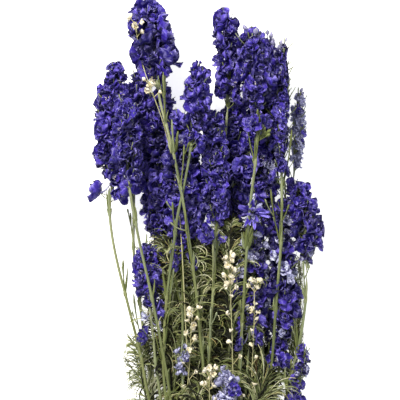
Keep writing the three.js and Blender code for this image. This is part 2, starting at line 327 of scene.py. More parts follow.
def tint(tree, blend, factor, a, b):
    """One colour mixed with another."""
    made = add_node(tree, "ShaderNodeMix", {0: factor, 6: a, 7: b}, data_type="RGBA", blend_type=blend)
    return made.outputs[2]


def stretched(tree, place, sheet, across, along):
    """Noise coordinates for marks that are so wide across and so long along. sheet is the width and the
    length that the whole texture sheet has on the real thing."""
    scale = (sheet[0] / across, sheet[1] / along, 1.0)
    made = add_node(tree, "ShaderNodeVectorMath", {0: place.outputs["UV"], 1: scale}, operation="MULTIPLY")
    return made.outputs["Vector"]


STALK_SHEET = (48 * MM, 720 * MM)  # what the whole texture sheet measures on a stalk, round it and up it
BLOTCH = (0.5 * MM, 50 * MM)  # its size across the stalk and along it, and the same of a rib's streak
RIB = (48 / 420 * MM, 120 * MM)


def dried_stalk():
    """Air-dried herbaceous stalk: woody and matt, olive green at its foot and fading to a pale grey-green,
    with fine lengthwise ribs, bumped, and painted shade between them as darker streaks. Each shoot has faded
    in its own way."""
    material, tree, output = new_material("air_dried_herb_stalk")
    place, inside, row, chance = sheet_nodes(tree)
    blotches = stretched(tree, place, STALK_SHEET, *BLOTCH)
    mottle = add_node(tree, "ShaderNodeTexNoise", {
        "Vector": blotches, "Scale": 1.0, "Detail": 4.0, "Roughness": 0.65})
    green = ramp(tree, mottle.outputs["Fac"], [
        (0.28, "#6f7658"), (0.45, "#9aa27e"), (0.6, "#c0c7a6"), (0.76, "#e6e8d2")])
    plants = ramp(tree, chance.outputs["Value"], [
        (0.0, "#a9b496"), (0.35, "#e9eee2"), (0.7, "#bfc4a4"), (1.0, "#f1efdc")])
    colour = tint(tree, "MULTIPLY", 0.8, green, plants)
    up = add_node(tree, "ShaderNodeSeparateXYZ", {"Vector": place.outputs["UV"]})
    bleached = ramp(tree, up.outputs["Y"], [(0.3, "#b9bf78"), (0.6, "#e3e4c0"), (0.8, "#ffffff")])
    colour = tint(tree, "MULTIPLY", 0.9, colour, bleached)
    streaks = stretched(tree, place, STALK_SHEET, *RIB)
    ribs = add_node(tree, "ShaderNodeTexNoise", {"Vector": streaks, "Scale": 1.0, "Detail": 1.0})
    # painted shade: the rib noise darkens the colour in streaks, as shade between the ribs
    shade = ramp(tree, ribs.outputs["Fac"], [(0.35, "#8f8f8f"), (0.6, "#ffffff")])
    colour = tint(tree, "MULTIPLY", 0.75, colour, shade)
    bump = add_node(tree, "ShaderNodeBump", {
        "Height": ribs.outputs["Fac"], "Strength": 0.5, "Distance": 0.3 * MM})
    skin = add_node(tree, "ShaderNodeBsdfPrincipled", {
        "Base Color": colour, "Roughness": 0.62, "Normal": bump.outputs["Normal"]})
    skin.inputs["IOR"].default_value = 1.45
    tree.links.new(skin.outputs["BSDF"], output.inputs["Surface"])
    return material


STALKS = 21
STALK_RING_EVERY = 3 * MM
STALK_WIDER = (1.1, 1.45)  # the ribbed skin against the plain sweep, at the cut end and at the neck
STALK_MOST_RADIUS = 1.75 * MM
RACHIS_TIP_RADIUS = 0.4 * MM

JOINT_EVERY = (48 * MM, 85 * MM)
JOINT_TO_NECK = 6 * MM  # the last joint is at least this far below the flowers
JOINT_SWELLING, JOINT_LENGTH = 0.55, 1.9 * MM
KINK, KINK_LENGTH = 0.5 * MM, 22 * MM  # a stalk steps aside a little at each joint
BARE_BELOW = -120 * MM  # the leaves and shoots are stripped off below this, where the hand held the bunch

# what grows at the joints: dry scales, side shoots that fork and end in knobs, and a narrow leaf
SCALES, SCALE_LENGTH, SCALE_WIDTH = 3, (4 * MM, 9 * MM), 2.4 * MM
SCALE_SHAPE = np.array([0.6, 0.9, 1.0, 0.95, 0.85, 0.7, 0.5, 0.3, 0.12])
SHOOT_LENGTH, SHOOT_RADIUS, SHOOT_LEAN = (24 * MM, 72 * MM), 0.7 * MM, (0.12, 0.36)
TWIG_LENGTH, TWIG_RADIUS = 0.35, 0.85  # against the shoot that it forks off
KNOB_SHAPE = np.array([1, 1, 1, 1, 1, 1, 1.6, 2.4, 1.2])
BLADE_LENGTH, BLADE_WIDTH = (14 * MM, 30 * MM), (1.6 * MM, 3.4 * MM)
BLADE_SHAPE = np.array([0.5, 0.8, 1.0, 1.0, 0.9, 0.75, 0.55, 0.35, 0.15])

FANS = {11: 30 * MM}  # how far below the neck a fan of short shoots with closed buds stands
FAN_SHOOTS, FAN_LENGTH = 7, 21 * MM
FAN_LEAN = (0.1, 1.1)  # the angles of its first and last shoot from the stalk, in radians
FAN_SIDE = np.array([0.85, 0, 0.5])
FAN_SHAPE = np.array([1.3, 1, 0.9, 0.85, 0.85, 0.9, 2.0, 3.0, 1.4])

CUPS = {1: 76 * MM, 11: 138 * MM}  # how far below the neck the cup of bracts stands
CUP_BRACTS, CUP_LENGTH, CUP_WIDTH = 5, 21 * MM, 4.6 * MM
BRACT_SHAPE = np.array([0.5, 0.85, 1.0, 0.95, 0.8, 0.6, 0.42, 0.25, 0.1])

UP_STALK = np.array([0.0, 1.0, 0.0])
STEPS = np.linspace(0, 1, 9)[:, None]  # along each shoot, blade, scale and bract


def outward(turn):
    """The way that leads out from a stalk, at an angle round it."""
    return np.array([math.cos(turn), 0.0, math.sin(turn)])


def outward_and_up(turn):
    """The same, kept to the side that is away from the table."""
    return np.array([math.cos(turn), 0.0, abs(math.sin(turn)) * 0.8 + 0.1])


def at_height(line, y):
    """The point of a line of rings at one distance y."""
    return follow(line, np.array([y]))[0][0]


stalk_material = dried_stalk()
stalk_lines = {}
stalk_heaps = {}
stalk_strips = {}  # the column of the texture sheet that each stalk's own colours come from

for number in range(1, STALKS + 1):
    rng = np.random.default_rng(100 + number)
    stem, raceme = rings_of(f"stem_{number:02d}"), rings_of(f"raceme_{number:02d}")
    line = np.concatenate([stem, raceme[1:]])
    cut, neck, tip = stem[0, 0], stem[-1, 0], raceme[-1, 0]
    y = np.linspace(cut, tip - 2 * MM, int((tip - cut) / STALK_RING_EVERY))
    middle, radius = follow(line, y)
    neck_radius = stem[-2, 3]
    thin = np.clip((y - neck) / (tip - neck), 0, 1)
    radius = np.where(y < neck, radius, neck_radius * (1 - thin) + RACHIS_TIP_RADIUS * thin)
    radius = np.minimum(radius * np.interp(y, (cut, neck), STALK_WIDER), STALK_MOST_RADIUS)
    joints = np.cumsum(rng.uniform(*JOINT_EVERY, 20)) + cut
    joints = joints[joints < neck - JOINT_TO_NECK]
    for joint in joints:
        radius *= 1 + JOINT_SWELLING * np.exp(-((y - joint) / JOINT_LENGTH) ** 2)
        middle[:, 0] += rng.normal(0, KINK) * np.exp(-np.abs(y - joint) / KINK_LENGTH)
    heap = Heap()
    strip = (number * 3) % 7
    heap.tubes([middle], [radius], 10, [[(strip + 0.08) / SHEET_ROWS, 0.02]], [[0.84 / SHEET_ROWS, 0.96]])
    stalk_lines[number] = (line, neck, tip)
    stalk_heaps[number] = heap
    stalk_strips[number] = strip

    # dry scales, up to two side shoots with a twig each, and a narrow leaf at every joint
    for joint in joints[joints > BARE_BELOW]:
        foot = at_height(line, joint)
        for turn in rng.uniform(0, 2 * math.pi, SCALES):
            length = rng.uniform(*SCALE_LENGTH)
            scale = foot + UP_STALK * length * (STEPS - 0.2)
            scale = scale + outward(turn) * (1 * MM + length * 0.4 * STEPS**2)
            width = SCALE_SHAPE * SCALE_WIDTH / 2
            heap.tubes([scale], [width], 5, *tile([strip], rng.integers(0, 8, 1)), flat=0.35)
        for shoot in range(rng.integers(0, 3)):
            length = rng.uniform(*SHOOT_LENGTH)
            out = outward_and_up(rng.uniform(0, 2 * math.pi))
            lean = rng.uniform(*SHOOT_LEAN)
            path = foot + UP_STALK * length * STEPS + out * length * lean * (STEPS - 0.4 * STEPS**2)
            fork = path[rng.integers(4, 7)]
            away = out * 0.5 + rng.normal(0, 0.35, 3)
            twig = fork + (UP_STALK * STEPS + away * (STEPS - 0.3 * STEPS**2)) * length * TWIG_LENGTH
            radius = np.linspace(1.3, 0.7, len(STEPS)) * SHOOT_RADIUS * KNOB_SHAPE
            corner, size = tile([strip] * 2, rng.integers(0, 8, 2))
            heap.tubes([path, twig], [radius, radius * TWIG_RADIUS], 5, corner, size)
        out = outward_and_up(rng.uniform(0, 2 * math.pi))
        length = rng.uniform(*BLADE_LENGTH)
        blade = foot + UP_STALK * length * STEPS + out * length * 0.3 * (STEPS - 0.6 * STEPS**2)
        blade = blade + rng.normal(0, 0.1, 3) * length * STEPS**2
        width = BLADE_SHAPE * rng.uniform(*BLADE_WIDTH) / 2
        heap.tubes([blade], [width], 6, *tile([strip], rng.integers(0, 8, 1)), flat=0.25)

    # short shoots with closed buds stand in a fan on one of the stalks
    if number in FANS:
        foot = at_height(line, neck - FANS[number])
        lean = np.linspace(*FAN_LEAN, FAN_SHOOTS)[:, None, None]
        ways = UP_STALK * np.cos(lean) + FAN_SIDE * np.sin(lean)
        lengths = FAN_LENGTH * rng.uniform(0.7, 1.1, (FAN_SHOOTS, 1, 1))
        radius = FAN_SHAPE * SHOOT_RADIUS * TWIG_RADIUS
        heap.tubes(foot + ways * STEPS * lengths, np.tile(radius, (FAN_SHOOTS, 1)), 6,
                   *tile([strip] * FAN_SHOOTS, rng.integers(0, 8, FAN_SHOOTS)))

    # a few broad bracts clasp two of the stalks in a cup, round the foot of a shoot that never opened
    if number in CUPS:
        foot = at_height(line, neck - CUPS[number])
        for turn in np.arange(CUP_BRACTS) * 2 * math.pi / CUP_BRACTS + 0.4:
            length = CUP_LENGTH * rng.uniform(0.8, 1.15)
            spread = np.sin(STEPS * 2.2) * 0.2 + 0.12 * STEPS**3
            bract = foot + UP_STALK * length * STEPS + outward(turn) * length * spread
            heap.tubes([bract], [BRACT_SHAPE * CUP_WIDTH / 2], 6,
                       *tile([strip], rng.integers(0, 8, 1)), flat=0.3)


# ---- Racemes: the florets and the buds ----
# Double larkspur florets, air-dried whole. Thin sepals, blue-violet and crumpled, stand round a ruff of
# narrower petals, and a slender spur runs back from each floret. Closed grey-lavender buds end the spike.

PETAL_ACROSS, PETAL_ALONG = 5, 7  # points in a petal's skin
PETAL_THICKNESS = 0.22 * MM


def petal_weave():
    """The faces of one petal: a front skin and a back skin that share their edge."""
    across, along = PETAL_ACROSS, PETAL_ALONG
    front = np.arange(along * across).reshape(along, across)
    back = front.copy()
    back[1:-1, 1:-1] = along * across + np.arange((along - 2) * (across - 2)).reshape(along - 2, across - 2)
    weave = lambda g: np.stack([g[:-1, :-1], g[:-1, 1:], g[1:, 1:], g[1:, :-1]], axis=-1).reshape(-1, 4)
    return np.concatenate([weave(front), weave(back)[:, ::-1]])


PETAL_FACES = petal_weave()


def petals(rng, length, width, open_by, curl, turn, corner, size, ruffle=1.0, start=0.8 * MM):
    """Petals round the middle of a floret that faces +Z, one for each value of length. open_by is each
    petal's angle over the floret's plane at its claw, curl how much it bends on from there, and turn its
    place round."""
    length, width, open_by, curl, turn = np.broadcast_arrays(
        *[np.asarray(v, float) for v in (length, width, open_by, curl, turn)])
    many = len(length)
    v = np.array([0, 0.14, 0.34, 0.54, 0.74, 0.9, 1.0])
    u = np.linspace(-1, 1, PETAL_ACROSS)
    half = (1 - np.abs(2 * v - 1) ** 2.6).clip(0.03) ** 0.45 * (0.42 + 0.58 * np.clip(v / 0.45, 0, 1))
    half[0], half[-1] = 0.16, 0.34
    angle = open_by[:, None] + curl[:, None] * v**1.4 + rng.normal(0, 0.06, (many, PETAL_ALONG)).cumsum(1) * v
    step = np.diff(v, prepend=0) * length[:, None]
    away = start + (np.cos(angle) * step).cumsum(1)
    rise = (np.sin(angle) * step).cumsum(1)
    x = half[None, :, None] * width[:, None, None] / 2 * u * rng.uniform(0.93, 1.06, (many, PETAL_ALONG, 1))
    phase = rng.uniform(0, 6.3, (many, 1, 1))
    waves = rng.uniform(1.6, 3.4, (many, 1, 1))
    swell = v[None, :, None] ** 0.8 * ruffle * width[:, None, None]
    lift = 0.09 * swell * np.sin(waves * u * 2.2 + phase + 4 * v[None, :, None])
    lift = lift + rng.uniform(0.0, 0.45, (many, 1, 1)) * swell * u**2
    lift = lift + rng.normal(0, 0.018, (many, PETAL_ALONG, PETAL_ACROSS)) * swell
    sway = rng.normal(0, 0.10, (many, 1, 1)) * length[:, None, None] * v[None, :, None] ** 2
    normal = np.stack([-np.sin(angle), np.cos(angle)], axis=-1)
    out = away[:, :, None] + normal[:, :, None, 0] * lift
    high = rise[:, :, None] + normal[:, :, None, 1] * lift
    c, s = np.cos(turn)[:, None, None], np.sin(turn)[:, None, None]
    tangent = x + sway
    front = np.stack([out * c - tangent * s, out * s + tangent * c, high], axis=-1)
    inner = front[:, 1:-1, 1:-1]
    thick = np.stack([normal[..., 0] * np.cos(turn)[:, None], normal[..., 0] * np.sin(turn)[:, None],
                      normal[..., 1]], axis=-1)[:, 1:-1, None]
    back = inner - thick * PETAL_THICKNESS
    points = np.concatenate([front.reshape(many, -1, 3), back.reshape(many, -1, 3)], axis=1)
    grid = np.stack(np.meshgrid(0.5 + u / 2, v), axis=-1)
    sheet = np.concatenate([grid.reshape(-1, 2), grid[1:-1, 1:-1].reshape(-1, 2)])
    places = corner[:, None] + sheet * size[:, None]
    start_at = (np.arange(many) * points.shape[1])[:, None, None]
    faces = (PETAL_FACES[:, ::-1] + start_at).reshape(-1, 4)
    return points.reshape(-1, 3), places.reshape(-1, 2), faces, np.zeros((0, 3), int)


# rows of the petal sheet: near-black painted shade for petals deep among the others, three deep shades,
# brighter ones, faded ones, spurs, and stamens
SHADE_ROW, BRIGHT_ROW, PALE_ROW, SPUR_ROW, STAMEN_ROW = 0, 4, 5, 6, 7
TONE_ROWS = {"deep": (1, 2, 3), "bright": (3, BRIGHT_ROW), "pale": (PALE_ROW,), "shade": (SHADE_ROW,)}
STRAP_ROWS = [3, BRIGHT_ROW, BRIGHT_ROW, PALE_ROW]
SEPALS, SEPAL_LENGTH, SEPAL_WIDTH = 5, 12.6 * MM, 13.8 * MM
SPUR_LENGTH = 10 * MM
SPUR_SHAPE = np.array([1.5, 1.35, 1.1, 0.9, 0.75, 0.62, 0.5, 0.28]) * MM
STAMEN_LENGTH = 5.5 * MM
STAMEN_SHAPE = np.array([0.3, 0.3, 0.3, 0.35, 0.62, 0.3]) * MM
STRAPS, STRAP_LENGTH, STRAP_WIDTH = 26, 13 * MM, 3.0 * MM
BUD_LENGTH = 9 * MM
BUD_SHAPE = np.array([0.12, 0.62, 0.92, 1.0, 0.95, 0.78, 0.5, 0.16]) * 0.28  # its radius against its length


def shades(rng, tone, many):
    """Tiles for a ring of petals that have dried to nearly one shade: one of the tone, and its neighbour."""
    column, row = rng.integers(0, 7), rng.choice(TONE_ROWS[tone])
    return tile(column + rng.integers(0, 2, many), np.full(many, row))


def floret(rng, tone):
    """One floret that faces +Z with its spur behind it. One of the shade tone, near-black as painted shade,
    has only petals.
    """
    heap = Heap()
    shut = rng.uniform(0, 1) ** 1.4  # dried florets are drawn together more or less
    inner, heart, stamens = rng.integers(4, 7), rng.integers(2, 4), rng.integers(3, 6)

    # five broad sepals, and a ruff of narrower petals inside them
    turn = np.arange(SEPALS) * 2 * math.pi / SEPALS + rng.normal(0, 0.16, SEPALS)
    length = SEPAL_LENGTH * rng.uniform(0.86, 1.12, SEPALS)
    width = SEPAL_WIDTH * rng.uniform(0.84, 1.15, SEPALS)
    heap.add(*petals(rng, length, width, rng.normal(0.15 + 0.6 * shut, 0.25, SEPALS),
                     rng.normal(0.45, 0.5, SEPALS), turn, *shades(rng, tone, SEPALS)))
    if tone == "shade":
        inner = 3
    turn = rng.uniform(0, 2 * math.pi, inner)
    length = SEPAL_LENGTH * rng.uniform(0.55, 0.85, inner)
    width = SEPAL_WIDTH * rng.uniform(0.5, 0.8, inner)
    heap.add(*petals(rng, length, width, rng.normal(0.75 + 0.3 * shut, 0.25, inner),
                     rng.normal(0.1, 0.6, inner), turn, *shades(rng, tone, inner), ruffle=1.3))
    if tone == "shade":
        return heap

    # the small pale petals of the heart, the stamens, and the spur behind
    turn = rng.uniform(0, 2 * math.pi, heart)
    length = SEPAL_LENGTH * rng.uniform(0.3, 0.5, heart)
    width = SEPAL_WIDTH * rng.uniform(0.22, 0.4, heart)
    heap.add(*petals(rng, length, width, rng.normal(1.1, 0.2, heart), rng.normal(0.0, 0.5, heart), turn,
                     *shades(rng, "pale" if rng.random() < 0.7 else "bright", heart)))
    t = np.linspace(0, 1, 6)[:, None]
    ends = np.column_stack([rng.normal(0, 0.32, (stamens, 2)), rng.uniform(0.7, 1.1, stamens)])
    ends *= STAMEN_LENGTH
    heap.tubes(ends[:, None] * t, np.tile(STAMEN_SHAPE, (stamens, 1)), 4,
               *tile(rng.integers(0, 8, stamens), [STAMEN_ROW] * stamens))
    t = np.linspace(0, 1, 8)[:, None]
    back = np.array([0, 0.35, -0.9])
    bend = np.array([rng.normal(0, 0.2), rng.uniform(0.2, 0.9), 0.3])
    path = back * SPUR_LENGTH * t + bend * SPUR_LENGTH * t**2
    heap.tubes([path], [SPUR_SHAPE], 6, *tile([rng.integers(0, 8)], [SPUR_ROW]))
    return heap


def strap_floret(rng):
    """A fully double floret: all its petals have grown into narrow straps, which stand in a loose brush."""
    heap = Heap()
    length = STRAP_LENGTH * rng.uniform(0.6, 1.1, STRAPS)
    width = STRAP_WIDTH * rng.uniform(0.7, 1.2, STRAPS)
    heap.add(*petals(rng, length, width, rng.uniform(0.1, 1.3, STRAPS), rng.normal(0.2, 0.4, STRAPS),
                     rng.uniform(0, 2 * math.pi, STRAPS),
                     *tile(rng.integers(0, 8, STRAPS), rng.choice(STRAP_ROWS, STRAPS))))
    return heap


def bud(rng):
    """A closed bud along +Z, with a short blunt spur."""
    heap = Heap()
    t = np.linspace(0, 1, 8)[:, None]
    path = (np.array([0, 0, 1.0]) * t + np.array([rng.normal(0, 0.12), 0.2, 0]) * t**2) * BUD_LENGTH
    heap.tubes([path], [BUD_SHAPE * BUD_LENGTH], 8, *tile([rng.integers(0, 8)], [SPUR_ROW]))
    spur = (np.array([0, 0.25, -0.15]) * t + np.array([0, 0.35, 0.5]) * t**2 * 0.8) * BUD_LENGTH
    heap.tubes([spur], [np.linspace(0.11, 0.05, 8) * BUD_LENGTH], 5, *tile([rng.integers(0, 8)], [SPUR_ROW]))
    return heap


def gathered(heap):
    """A heap's points, places, quads and triangles, each as one array."""
    return [np.concatenate(part) for part in (heap.points, heap.places, heap.quads, heap.tris)]


def facing(direction, up):
    """Turns that take +Z to each direction and keep +Y towards up."""
    z = unit(direction)
    x = unit(np.cross(up, z))
    return np.stack([x, np.cross(z, x), z], axis=-1)


def colour_by_row(tree, row, colours):
    """The colour of a tile by its row on the texture sheet. Each (row, hex colour) holds up to the next."""
    middle = add_node(tree, "ShaderNodeMath", {0: row, 1: 1 / SHEET_ROWS, 2: 0.5 / SHEET_ROWS},
                      operation="MULTIPLY_ADD")
    stops = [(at / SHEET_ROWS, colour) for at, colour in colours]
    return ramp(tree, middle.outputs["Value"], stops, "CONSTANT")


PETAL_SHEET = (126 * MM, 126 * MM)  # what the whole texture sheet measures on petals, across and along
VEIN = (1.4 * MM, 9 * MM)  # across and along; the real ones are finer and wouldn't show
# size of the painted highlight patches on the petals
HIGHLIGHT_PATCH = 126 / 26 * MM


def dried_petal():
    """Air-dried petal skin: papery, deep blue-violet, darker along its veins, with painted highlights at its
    edges and in soft patches, painted shade towards its claw, and the short velvet of petal cells that lights
    up where it is seen edge on."""
    material, tree, output = new_material("air_dried_larkspur_petal")
    place, inside, row, chance = sheet_nodes(tree)
    base = colour_by_row(tree, row, [
        # SHADE_ROW's near-black violet is painted shade, for florets set deep in the spike
        (SHADE_ROW, "#120950"), (1, "#24157c"), (2, "#3a2899"), (3, "#4f3cb2"), (BRIGHT_ROW, "#8577e2"),
        (PALE_ROW, "#e4e9fa"), (SPUR_ROW, "#a7a8b6"), (STAMEN_ROW, "#ece3ca")])
    chances = ramp(tree, chance.outputs["Value"], [(0.0, "#7d74a8"), (0.45, "#cfc9ea"), (1.0, "#ffffff")])
    blue = add_node(tree, "ShaderNodeMath", {0: row, 1: PALE_ROW - 0.5}, operation="LESS_THAN")
    vary = add_node(tree, "ShaderNodeMath", {0: blue.outputs["Value"], 1: 0.5, 2: 0.5},
                    operation="MULTIPLY_ADD")
    colour = tint(tree, "MULTIPLY", vary.outputs["Value"], base, chances)
    at = add_node(tree, "ShaderNodeSeparateXYZ", {"Vector": inside.outputs["Vector"]})
    lengthwise = stretched(tree, place, PETAL_SHEET, *VEIN)
    veins = add_node(tree, "ShaderNodeTexNoise", {"Vector": lengthwise, "Scale": 1.0, "Detail": 3.0})
    dark = ramp(tree, veins.outputs["Fac"], [(0.36, "#6c62a0"), (0.56, "#ffffff")])
    colour = tint(tree, "MULTIPLY", 0.7, colour, dark)
    # painted highlight: each petal is screened paler lavender towards its long edges, as light caught on its
    # rims
    edge = add_node(tree, "ShaderNodeMath", {0: at.outputs["X"], 1: 0.5}, operation="SUBTRACT")
    edge = add_node(tree, "ShaderNodeMath", {0: edge.outputs["Value"]}, operation="ABSOLUTE")
    edge = add_node(tree, "ShaderNodeMapRange", {
        "Value": edge.outputs["Value"], "From Min": 0.2, "From Max": 0.5, "To Max": 0.45})
    colour = tint(tree, "SCREEN", edge.outputs["Result"], colour, linear("#6a60ac"))
    # painted highlight: soft noise patches screened pale lavender over the petals, standing in for glints of
    # light
    patch = add_node(tree, "ShaderNodeTexNoise", {
        "Vector": place.outputs["UV"], "Scale": PETAL_SHEET[0] / HIGHLIGHT_PATCH, "Detail": 2.0})
    painted_highlight = add_node(tree, "ShaderNodeMapRange", {
        "Value": patch.outputs["Fac"], "From Min": 0.54, "From Max": 0.7, "To Max": 0.6})
    colour = tint(tree, "SCREEN", painted_highlight.outputs["Result"], colour, linear("#8f89c4"))
    # painted shade: each petal darkens towards its claw, so that the middle of a floret looks shaded
    claw = add_node(tree, "ShaderNodeMapRange", {
        "Value": at.outputs["Y"], "From Min": 0.45, "From Max": 0.08, "To Max": 0.75})
    colour = tint(tree, "MULTIPLY", claw.outputs["Result"], colour, linear("#6f66a8"))
    bump = add_node(tree, "ShaderNodeBump", {
        "Height": veins.outputs["Fac"], "Strength": 0.45, "Distance": 0.4 * MM})
    skin = add_node(tree, "ShaderNodeBsdfPrincipled", {
        "Base Color": colour, "Roughness": 0.46, "Normal": bump.outputs["Normal"]})
    skin.inputs["IOR"].default_value = 1.45
    skin.inputs["Sheen Weight"].default_value = 0.4
    skin.inputs["Sheen Roughness"].default_value = 0.3
    skin.inputs["Sheen Tint"].default_value = linear("#b9b2ff")
    tree.links.new(skin.outputs["BSDF"], output.inputs["Surface"])
    return material


petal_material = dried_petal()
GOLDEN_TURN = math.radians(137.5)
FLORET_KINDS, BUD_KINDS = 16, 8
FLORET_SEEDS = {"deep": 1000, "bright": 1050, "pale": 1100, "shade": 1200}
kinds = {tone: [gathered(floret(np.random.default_rng(seed + j), tone)) for j in range(FLORET_KINDS)]
         for tone, seed in FLORET_SEEDS.items()}
kinds["strap"] = [gathered(strap_floret(np.random.default_rng(2900 + j))) for j in range(FLORET_KINDS)]
bud_kinds = [gathered(bud(np.random.default_rng(3000 + j))) for j in range(BUD_KINDS)]

# How each spike differs, by its number; "else" is what the others have.
TONES = {14: "pale", 20: "pale", 21: "pale"}  # else deep
FLORET_SIZE = {1: 1.4, 7: 1.25, 8: 1.3, 13: 0.85, 14: 0.76, 17: 1.1, 20: 0.8, 21: 0.8}  # else 1
FLORET_EVERY = {1: 5.2, 7: 4.0, 8: 3.8, 14: 2.4, 16: 4.0, 18: 3.8, 20: 5.2, 21: 6.4, "else": 3.2}  # in mm
# Shares of a spike's length: up to where small faded florets hang, and from where it has buds.
SPECKLED = {10: 0.3, 12: 0.45, 15: 0.3, 16: 1, 18: 1, 19: 1}
BUDS_FROM = {7: 0.92, 11: 0.84, 12: 0.88, 13: 0.82, 14: 0.75, "else": 0.96}
# Two spikes have large florets to the end: the gap that those leave there, and the radius they keep to.
BLUNT = {1: (13 * MM, 11 * MM), 8: (9 * MM, 10 * MM), "else": (5 * MM, 0)}
ONE_SIDED = {14: 1 * MM}  # pressed by its neighbour, this one's florets all stand up and to one side
SPREAD = {2: 7 * MM}  # how far past the bunch's own edge the florets of a spike may hang
# The spike beside these two keeps their florets in: where they start to bend back, and may reach to.
HEMMED_IN = {12: (64 * MM, 84 * MM), 13: (70 * MM, 88 * MM)}
# Florets that hang apart from the spike's own rows: how many millimetres below its neck (below 0 is up the
# spike), the way that they hang in degrees, tone and scale. A spike that isn't listed has three close below
# its neck.
# florets of the "shade" tone are near-black violet, painted shade set into gaps where the table would show
STRAGGLERS = {
    1: [],
    2: [(17, 180, "deep", 1.1), (20, 10, "deep", 1.0), (2, 60, "deep", 1.0)],
    7: [(6, 30, "deep", 0.9)],
    8: [(5, 0, "deep", 0.8)],
    10: [(-75, 50, "bright", 1.25), (12, 200, "deep", 1.0)],
    12: [(-128, 180, "deep", 1.0), (-112, 185, "deep", 1.05), (-97, 178, "deep", 1.0), (6, 200, "deep", 0.9),
         (94, 10, "shade", 1.1), (87, 340, "shade", 1.0), (102, 350, "shade", 0.8)],
    14: [],
    15: [(-19, 5, "deep", 0.8), (-30, 350, "shade", 0.8)],
    17: [(34, 165, "deep", 0.9), (6, 30, "bright", 0.9), (12, 150, "pale", 0.55), (20, 20, "pale", 0.5)],
    18: [(-121, 85, "strap", 1.45), (-22, 182, "deep", 1.1), (-40, 175, "deep", 1.0),
         (-8, 190, "bright", 0.9), (9, 150, "deep", 0.8), (4, 0, "deep", 0.85), (-12, 350, "bright", 0.9)],
    20: [],
    21: []}
CORE_EVERY = 5.5 * MM
BROAD_RADIUS = 15 * MM  # a spike as broad as this has full-sized florets
SMALL_FLORET = 0.56
BUD_RADIUS = 8 * MM  # a spike as broad as this at its tip has full-sized buds
FLORET_REACH = 8 * MM  # from a floret's stalklet to where its petals reach
STALKLET_RADII = np.linspace(0.62, 0.42, 7) * MM
STALKLET_STEPS = np.linspace(0, 1, 7)[:, None]


def set_down(heap, kind, place, turn, scale):
    """Adds one ready-made floret or bud at a place."""
    points, places, quads, tris = kind
    heap.add(points @ turn.T * scale + place, places, quads, tris)


def hang(heap, stalklets, rng, line, y, radial, reach, tone, lean, scale):
    """Hangs one floret off a rachis at y, on a stalklet that bends up and out from it. A thread-like bract
    stands at the stalklet's foot."""
    root = at_height(line, y)
    place = root + radial * reach + UP_STALK * reach * 0.35
    face = radial * math.cos(lean) + UP_STALK * math.sin(lean) + rng.normal(0, 0.22, 3)
    turn = facing(face, np.array([rng.normal(0, 0.4), 1.0, rng.normal(0, 0.4)]))
    set_down(heap, kinds[tone][rng.integers(0, FLORET_KINDS)], place, turn, scale)
    t = STALKLET_STEPS
    foot = root - UP_STALK * 5 * MM
    stalklets.append(foot * (1 - t) + place * t + radial * np.sin(t * math.pi) * 1.2 * MM)
    aside = unit(np.cross(radial, UP_STALK)) * rng.normal(0, 0.5)
    bract = root + (radial + aside) * (reach + rng.uniform(3, 9) * MM) * (t - 0.15 * t**2)
    stalklets.append(bract + UP_STALK * rng.uniform(4, 16) * MM * t**1.5)


